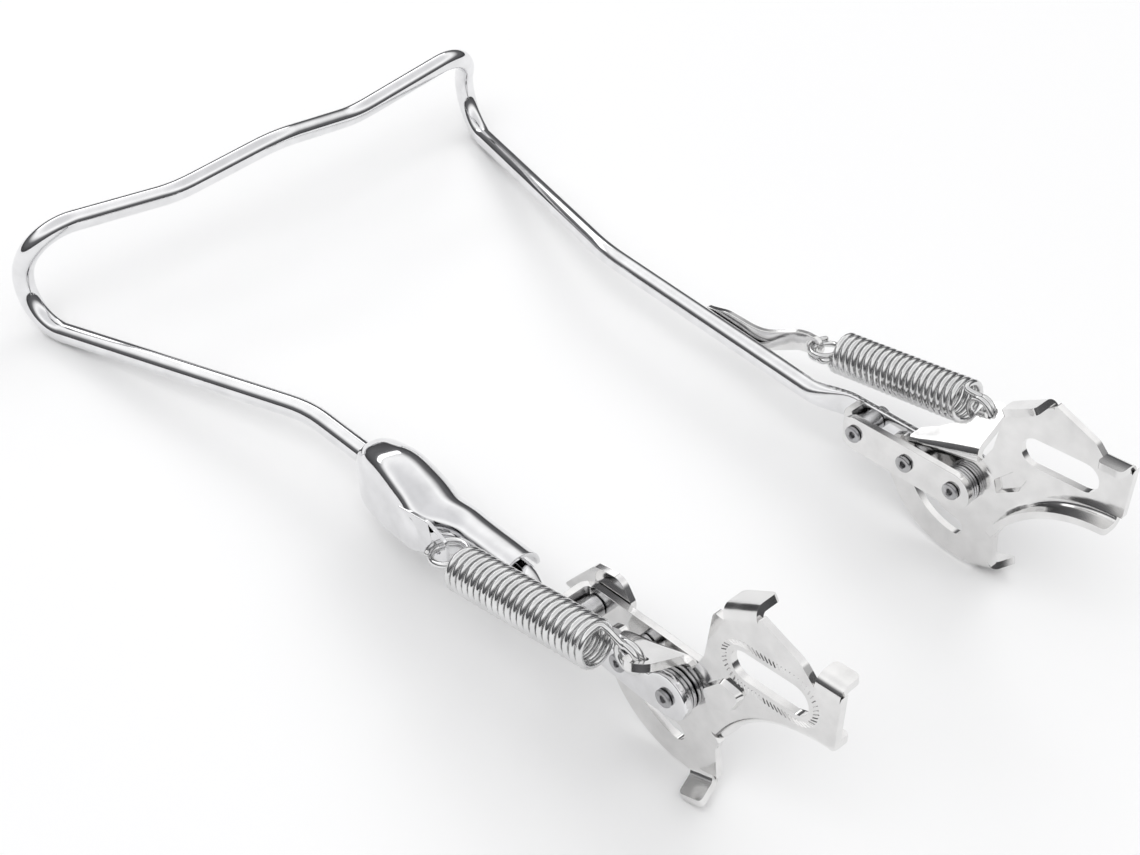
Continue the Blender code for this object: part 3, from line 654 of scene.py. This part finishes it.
    tip = arc(EAR_HOLE, 5.2, 0, 172, 14)
    rim = [(36.0, 8.0)] + [tuple(p) for p in tip] + [(25.0, 11.2), (22.6, 8.6), (15.0, 4.8), (9.0, 3.0)]
    free = [ear_flat(s, w) for s, w in rim]
    hole = [ear_flat(*p) for p in ring_hole(*EAR_HOLE, HOLE_R)]
    fill(bm, [last + free, hole])

    # tabs and the edge along the arc, turned inwards
    def inward(points, normal):
        def place(i, out, rise):
            n = normal(points[i]) if callable(normal) else normal
            p = points[i] + n * out
            return (side * (mid - rise), p.x, p.y)
        return place

    bend_edge(bm, chains["front"], inward(front_tab, front_normal), math.pi / 2, BEND_R, FRONT_TAB)
    bend_edge(bm, chains["rear"], inward(rear_tab, rear_normal), math.radians(88), BEND_R, REAR_TAB)
    to_centre = inward(arc_edge, lambda p: (ARC_CENTRE - p).normalized())
    bend_edge(bm, chains["arc"], to_centre, math.pi / 2, BEND_R, FLANGE)

    # stop hook, turned outwards and swept back
    def on_hook(i, out, rise):
        p = hook[i] + hook_normal * out
        return (side * (mid + rise), p.x - 0.33 * rise, p.y - 0.05 * rise)

    bend_edge(bm, chains["hook"], on_hook, math.pi / 2, BEND_R, STOP_HOOK)
    obj = piece(f"{label}_bracket_plate", bm, "nickel_sheet", f"{label}_bracket", [f"{label}_axle_bracket"], 50.0)
    soften(thicken(obj, SHEET), 0.7)


def make_grip_marks(label, side):
    """Short raised ridges round the axle slot, where the nut bites. They aren't in the CAD model."""
    count, half_width, sunk, height = 60, 0.24, 0.05, 0.24
    bm = bmesh.new()
    face = BRACKET_X + SHEET
    inner, outer = (slot_outline(AXLE_SLOT_CENTRE, AXLE_SLOT_LENGTH + wider, AXLE_SLOT_WIDTH + wider,
                                 AXLE_SLOT_TILT, 10) for wider in (3.4, 7.4))

    def spread(points):
        """count points evenly along a closed outline."""
        loop = points + [points[0]]
        lengths = [(b - a).length for a, b in zip(loop, loop[1:])]
        total, result, at, i = sum(lengths), [], 0.0, 0
        for k in range(count):
            goal = total * k / count
            while at + lengths[i] < goal:
                at += lengths[i]
                i += 1
            result.append(loop[i].lerp(loop[i + 1], (goal - at) / lengths[i]))
        return result

    for a, b in zip(spread(inner), spread(outer)):
        along = (b - a).normalized()
        across = Vector((-along.y, along.x)) * half_width
        base = [a - across, b - across, b + across, a + across]
        low = [bm.verts.new((side * (face - sunk), p.x, p.y)) for p in base]
        high = [bm.verts.new((side * (face + height), p.x, p.y)) for p in (a + along * 0.3, b - along * 0.3)]
        bm.faces.new(low)
        bm.faces.new((low[0], low[1], high[1], high[0]))
        bm.faces.new((low[2], low[3], high[0], high[1]))
        bm.faces.new((low[0], high[0], low[3]))
        bm.faces.new((low[1], low[2], high[1]))
    piece(f"{label}_grip_marks", bm, "nickel_sheet", f"{label}_bracket", [], 20.0)


def make_strap(label, side):
    """The inner strap of the hinge, its rear end turned out to the blade."""
    bm = bmesh.new()
    mid = STRAP_X + SHEET / 2
    rear = REAR_Y + 7.0 - SETBACK
    end = [Vector((rear, -6.0)), Vector((rear, -2.0)), Vector((rear, 2.0)), Vector((rear, 5.4))]
    outline = end + [Vector((rear - 1.2, 6.2)), Vector((STOP_Y, 6.8))] + arc((0, 0), 7.0, 92, 268, 24)
    outline += [Vector((STOP_Y, -7.0)), Vector((rear - 1.2, -6.8))]
    loop = [bm.verts.new((side * mid, p.x, p.y)) for p in outline]
    holes = [[bm.verts.new((side * mid, p.x, p.y)) for p in ring_hole(y, 0.0, RIVET_HOLE_R, 16)]
             for y in (0.0, STOP_Y, REAR_Y)]
    fill(bm, [loop] + holes)

    def place(i, out, rise):
        return (side * (mid + rise), end[i].x + out, end[i].y)

    bend_edge(bm, loop[:4], place, math.pi / 2, BEND_R, BLADE_X - GAP - mid - BEND_R)
    obj = piece(f"{label}_strap", bm, "nickel_sheet", "stand", [f"{label}_link_strap"], 50.0)
    soften(thicken(obj, SHEET), 0.4)


def make_lug():
    """The short plate that stands up behind the left strap."""
    x = -(STRAP_X - GAP - LUG_T / 2)
    bm = bmesh.new()
    corners = [(60.0, -5.5, 1.0), (46.0, 11.2, 3.0), (34.5, 13.4, 5.0), (29.5, 6.0, 4.0), (30.5, -5.5, 2.0)]
    loop = [bm.verts.new((x, p.x, p.y)) for p in rounded([corners[-1]] + corners + [corners[0]], 8)]
    hole = [bm.verts.new((x, p.x, p.y)) for p in ring_hole(REAR_Y, 0.0, RIVET_HOLE_R, 16)]
    fill(bm, [loop, hole])
    soften(thicken(piece("lug", bm, "nickel_sheet", "stand", ["lug_plate"], 50.0), LUG_T), 0.4)


def make_rivet(name, node, y, x_in, x_out, side):
    """A tubular rivet with two rolled heads, each with its hollow."""
    bm = bmesh.new()

    def rolled(face, out):
        """Profile of one rolled head from the shank outwards to the middle of its hollow."""
        points = [(face, RIVET_R), (face, RIVET_HEAD_R - 0.15), (face + out * 0.15, RIVET_HEAD_R)]
        for k in range(7):
            angle = math.radians(90 * k / 6)
            points.append((face + out * (0.45 + 0.65 * math.sin(angle)),
                           RIVET_HEAD_R - 0.75 * (1 - math.cos(angle))))
        points += [(face + out * 1.02, 1.55), (face + out * 0.7, 1.2), (face - out * 0.6, 1.05)]
        return points

    profile = rolled(x_in - GAP, -1.0)[::-1] + rolled(x_out + GAP, 1.0)
    profile += [(x_out - 0.6, 0.02), (x_in + 0.6, 0.02)]
    turned(bm, profile, y, 0.0, side, 40)
    piece(name, bm, "rivet_steel", "stand", [node], 40.0)


def make_ring(name, node, y, x0, x1, r_out, side):
    """A washer, sleeve or bush round a rivet, its edges broken by c."""
    bm = bmesh.new()
    r_in = RIVET_R + 0.3
    c = min(0.18, (x1 - x0) * 0.25)
    profile = [(x0, r_in + c), (x0, r_out - c), (x0 + c, r_out), (x1 - c, r_out), (x1, r_out - c), (x1, r_in + c),
               (x1 - c, r_in), (x0 + c, r_in)]
    turned(bm, profile, y, 0.0, side)
    piece(name, bm, "washer_steel", "stand", [node], 30.0)


def stack(x0, x1, count):
    """The (inner, outer) x of count washers that fill the room between x0 and x1."""
    thick = (x1 - x0 - GAP * (count + 1)) / count
    return [(x0 + GAP + i * (thick + GAP), x0 + (i + 1) * (thick + GAP)) for i in range(count)]


def make_hinge(label, side):
    """One side's three rivets with what sits on them."""
    strap_out, blade_out = STRAP_X + SHEET, BLADE_X + BLADE_T
    rear_in = STRAP_X - GAP - LUG_T if label == "left" else STRAP_X
    for tag, y, x_in in (("pivot", 0.0, STRAP_X), ("stop", STOP_Y, STRAP_X), ("rear", REAR_Y, rear_in)):
        make_rivet(f"{label}_{tag}_pin", f"{label}_{tag}_rivet", y, x_in, blade_out, side)
    for tag, y, r_out in (("stop_sleeve", STOP_Y, SLEEVE_R), ("rear_spacer", REAR_Y, SPACER_R)):
        make_ring(f"{label}_{tag}_tube", f"{label}_{tag}", y, strap_out + GAP, BLADE_X - GAP, r_out, side)
    for i, (x0, x1) in enumerate(stack(strap_out, BRACKET_X, 3), 1):
        make_ring(f"{label}_inner_disc_{i}", f"{label}_inner_washer_{i}", 0.0, x0, x1, INNER_WASHER_R, side)
    for i, (x0, x1) in enumerate(stack(BRACKET_X + SHEET, BLADE_X, 2), 1):
        make_ring(f"{label}_outer_disc_{i}", f"{label}_outer_washer_{i}", 0.0, x0, x1, OUTER_WASHER_R, side)


# ---- pieces on the legs --------------------------------------------------------------------------------------

def make_pedal():
    """The pressed shell over the left leg: ridge, bulb with a domed end, and the cheek with the spring hole."""
    # y, outer face x, top z, low edge of the outer wall, inner face x, low edge of the inner wall
    stations = [
        (69.0, 73.8, 5.0, -4.0, 61.9, -1.4), (78.0, 74.0, 5.5, -4.2, 62.1, -1.4),
        (88.0, 74.4, 6.0, -4.4, 62.3, -1.4), (96.0, 75.6, 6.9, -4.4, 62.4, -1.6),
        (104.0, 82.3, 9.4, -4.6, 62.6, -2.4), (113.0, 81.5, 12.8, -6.5, 62.6, -3.8),
        (124.0, 80.2, 15.2, -7.9, 62.6, -5.0), (133.0, 79.0, 14.0, -7.6, 63.0, -4.6),
        (138.6, 77.4, 12.0, -6.4, 63.6, -3.8), (141.8, 75.2, 9.2, -4.2, 64.8, -2.2),
        (143.4, 72.6, 6.0, -0.8, 67.0, 0.6),
    ]
    fine = smooth_path([Vector(s[:3]) for s in stations], 5)
    more = smooth_path([Vector((s[0], s[4], s[5])) for s in stations], 5)
    lows = smooth_path([Vector((s[0], s[3], 0.0)) for s in stations], 5)
    bm = bmesh.new()
    rows = []
    count = 30
    for (y, outer, top), (_, inner, low_in), (_, low_out, _) in zip(fine, more, lows):
        middle, half = (outer + inner) / 2, (outer - inner) / 2
        base = max(top - 0.9 * half, max(low_out, low_in) + 0.2)
        row = [Vector((outer, low_out)), Vector((outer, (low_out + base) / 2))]
        for k in range(count + 1):
            angle = math.pi * k / count
            c, s = math.cos(angle), math.sin(angle)
            power = 2 / 2.9 if c > 0 else 2 / 1.9      # flatter outside, rounder inside
            rise = (top - base) * (abs(s) ** power + 0.10 * c * abs(s))
            row.append(Vector((middle + half * math.copysign(abs(c) ** power, c), base + rise)))
        row += [Vector((inner, (low_in + base) / 2)), Vector((inner, low_in))]
        rows.append([bm.verts.new((-p.x, y, p.y)) for p in row])
    for one, two in zip(rows, rows[1:]):
        strip_faces(bm, one, two)
    obj = piece("pedal_shell", bm, "chrome_pedal", "stand", ["foot_pedal"], 60.0)
    solid = obj.modifiers.new("sheet", "SOLIDIFY")
    solid.thickness, solid.offset = PEDAL_WALL * MM, -1.0
    faces = obj.data.polygons
    if faces[len(faces) // 2].normal.z < 0:
        obj.data.flip_normals()
    soften(obj, 0.35, 2)

    # the cheek: a flat plate beside the shell, with the spring's hole
    x = -PEDAL_HOLE.x
    bm = bmesh.new()
    outline = rounded([(112.0, -4.0, 0), (112.0, -5.4, 0), (112.0, 9.0, 0), (97.0, 11.4, 5.0), (88.2, 8.2, 3.0),
                       (88.2, -1.4, 3.0), (112.0, -5.4, 0)], 7)
    loop = [bm.verts.new((x, p.x, p.y)) for p in outline]
    hole = [bm.verts.new((x, p.x, p.y)) for p in ring_hole(PEDAL_HOLE.y, PEDAL_HOLE.z, HOLE_R)]
    fill(bm, [loop, hole])
    soften(thicken(piece("pedal_cheek", bm, "chrome_pedal", "stand", [], 50.0), PEDAL_WALL), 0.3, 2)


def make_anchor():
    """The strip on the right leg that swings out in an S to carry the spring."""
    weld = ROD_R + GAP + ANCHOR_T / 2
    along_rod = ((126.0, 2.0), (118.0, 2.0), (110.0, 2.1), (102.0, 2.4))
    line = [Vector((rod_centre(y).x + weld, y, z)) for y, z in along_rod]
    line += [Vector((75.4, 96.5, 2.9)), Vector((78.6, 91.4, 3.7)), Vector((81.4, 87.4, 4.5)),
             Vector((ANCHOR_HOLE.x, 83.6, 4.9))]
    path = smooth_path(line, 6)
    bm = bmesh.new()
    rows = []
    for i, p in enumerate(path):
        t = i / (len(path) - 1)
        half = 4.0 * (0.35 + 0.65 * ease(t * 5)) if t < 0.2 else 4.0
        rows.append([bm.verts.new(p + Vector((0, 0, half * w))) for w in (-1.0, -0.5, 0.0, 0.5, 1.0)])
    for one, two in zip(rows, rows[1:]):
        strip_faces(bm, one, two)
    x, y, z = ANCHOR_HOLE
    end = [bm.verts.new((x, p.x, p.y)) for p in arc((y, z), 4.1, 76, 284, 20)]
    hole = [bm.verts.new((x, p.x, p.y)) for p in ring_hole(y, z, HOLE_R)]
    fill(bm, [rows[-1] + end, hole])
    soften(thicken(piece("spring_strip", bm, "nickel_sheet", "stand", ["spring_anchor"], 60.0), ANCHOR_T), 0.4, 2)


# ---- springs -------------------------------------------------------------------------------------------------

def ear_hole_centre(side):
    """The middle of the ear's spring hole at rest."""
    along = (EAR_END - EAR_START).normalized()
    normal = Vector((along.y, -along.x))
    out, up = ear_hole_offset()
    p = EAR_START + along * EAR_HOLE[0] + normal * up
    return Vector((side * (BRACKET_X + SHEET + out), p.x, p.y))


def end_loop(origin, direction, reach, turned_to, sideways, loop_r):
    """An end loop of about one turn and a half, from the coil's wall through the hole to a free end."""
    wall = SPRING_OD / 2 - WIRE_R
    centre = reach - loop_r
    points = [origin + direction * 1.3 + turned_to * wall * 0.93]      # where the wire leaves the coil
    start, sweep, steps = 100.0, 510.0, 30
    for k in range(steps + 1):
        t = k / steps
        angle = math.radians(start - sweep * t)
        drift = WIRE_R * 1.04 * (2 * t - 1)
        radius = loop_r * (1.0 if t < 0.85 else 1.0 + (t - 0.85) * 0.9)      # the free end opens out
        points.append(origin + direction * (centre + radius * math.cos(angle))
                      + turned_to * radius * math.sin(angle) + sideways * drift)
    return points


def make_spring(label, side):
    """The wound wire with both end loops."""
    ear = ear_hole_centre(side)
    hole = PEDAL_HOLE if label == "left" else ANCHOR_HOLE
    foot = Vector((side * hole.x, hole.y, hole.z))
    along = (foot - ear).normalized()
    total = (foot - ear).length
    coil = COIL_LENGTH[label]
    start = (total - coil) / 2
    up = (Vector((0, 0, 1)) - along * along.z).normalized()
    outward = side * along.cross(up)
    radius = SPRING_OD / 2 - WIRE_R
    turns = COIL_TURNS[label]
    ear_end, leg_end = ear + along * (start + WIRE_R), ear + along * (start + coil - WIRE_R)
    first, last = ear_end + outward * COIL_OUT, leg_end + outward * COIL_OUT
    run = (last - first).length
    coil_points = []
    steps = round(turns * 20)
    for k in range(steps + 1):
        t = k / steps
        angle = 2 * math.pi * (turns - 0.25) * t
        ray = up * math.cos(angle) + outward * math.sin(angle)
        coil_points.append(first + along * run * t + ray * radius)
    ear_loop = end_loop(ear_end, -along, start + WIRE_R, up, -outward, EAR_LOOP_R)
    leg_loop = end_loop(leg_end, along, start + WIRE_R, -outward, up, min(LEG_LOOP_R, start / 2))
    ear_part = smooth_path(ear_loop[::-1] + [coil_points[0]], 3)
    leg_part = smooth_path([coil_points[-1]] + leg_loop, 3)
    bm = bmesh.new()
    wire(bm, ear_part[:-1] + coil_points + leg_part[1:], WIRE_R, 10)
    nodes = [f"{label}_spring_coil", f"{label}_spring_hook"]
    obj = piece(f"{label}_spring_wire", bm, "spring_wire", None, nodes, 60.0)
    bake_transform(obj)


# ---- studio --------------------------------------------------------------------------------------------------

def make_floor():
    mesh = bpy.data.meshes.new("studio_floor")
    bm = bmesh.new()
    bmesh.ops.create_grid(bm, x_segments=4, y_segments=4, size=FLOOR_SIZE)
    bm.to_mesh(mesh)
    bm.free()
    floor = bpy.data.objects.new("studio_floor", mesh)
    floor.location.z = -FLOOR_DROP
    bpy.context.scene.collection.objects.link(floor)
    material = bpy.data.materials.new("floor_paper")
    material.use_nodes = True
    shader = material.node_tree.nodes["Principled BSDF"]
    shader.inputs["Base Color"].default_value = (0.93, 0.93, 0.93, 1.0)
    shader.inputs["Roughness"].default_value = 0.85
    shader.inputs["Specular IOR Level"].default_value = 0.1
    mesh.materials.append(material)


def area_light(name, position, target, size, power, mirrored):
    light = bpy.data.lights.new(name, "AREA")
    light.shape = "RECTANGLE"
    light.size, light.size_y = size
    light.energy = power
    lamp = bpy.data.objects.new(name, light)
    bpy.context.scene.collection.objects.link(lamp)
    lamp.location = position
    lamp.rotation_euler = (Vector(target) - Vector(position)).to_track_quat("-Z", "Y").to_euler()
    lamp.visible_glossy = mirrored


def make_world():
    """What the plating mirrors: a sky that is dark near the horizon and pale above. The camera sees a plain
    backdrop in its place."""
    world = bpy.data.worlds.new("studio")
    bpy.context.scene.world = world
    world.use_nodes = True
    nodes, links = world.node_tree.nodes, world.node_tree.links
    background = nodes["Background"]
    coordinate = nodes.new("ShaderNodeTexCoord")
    split = nodes.new("ShaderNodeSeparateXYZ")
    links.new(coordinate.outputs["Generated"], split.inputs["Vector"])
    ramp = nodes.new("ShaderNodeValToRGB")
    ramp.color_ramp.interpolation = "EASE"
    stops = ramp.color_ramp.elements
    stops.remove(stops[1])
    for position, colour in SKY[1:]:
        stops.new(position).color = (*colour, 1.0)
    stops[0].position, stops[0].color = SKY[0][0], (*SKY[0][1], 1.0)
    links.new(split.outputs["Z"], ramp.inputs["Fac"])
    seen = nodes.new("ShaderNodeLightPath")
    mix = nodes.new("ShaderNodeMix")
    mix.data_type = "RGBA"
    mix.inputs["B"].default_value = (*BACKDROP, 1.0)
    links.new(ramp.outputs["Color"], mix.inputs["A"])
    links.new(seen.outputs["Is Camera Ray"], mix.inputs["Factor"])
    links.new(mix.outputs["Result"], background.inputs["Color"])
    background.inputs["Strength"].default_value = SKY_STRENGTH


def make_camera():
    """The photograph's viewpoint, given in the leg frame."""
    ahead = CAMERA_RIGHT.cross(CAMERA_DOWN)
    turn = LEG_TO_ROW.to_3x3().normalized()
    data = bpy.data.cameras.new("camera")
    data.sensor_width = 36.0
    data.lens = CAMERA_LENS
    data.clip_start = 0.01
    camera = bpy.data.objects.new("camera", data)
    bpy.context.scene.collection.objects.link(camera)
    basis = Matrix((turn @ CAMERA_RIGHT, turn @ -CAMERA_DOWN, turn @ -ahead)).transposed()
    camera.matrix_world = Matrix.Translation(LEG_TO_ROW @ CAMERA_EYE) @ basis.normalized().to_4x4()
    bpy.context.scene.camera = camera


def main():
    make_leg_frame()
    for label, side in SIDES.items():
        make_bracket(label, side)
        make_grip_marks(label, side)
        make_strap(label, side)
        make_hinge(label, side)
        make_spring(label, side)
    make_lug()
    make_pedal()
    make_anchor()
    make_floor()
    make_world()
    for name, values in LIGHTS.items():
        area_light(name, *values)
    make_camera()
    bpy.context.scene.view_settings.view_transform = "Standard"


main()
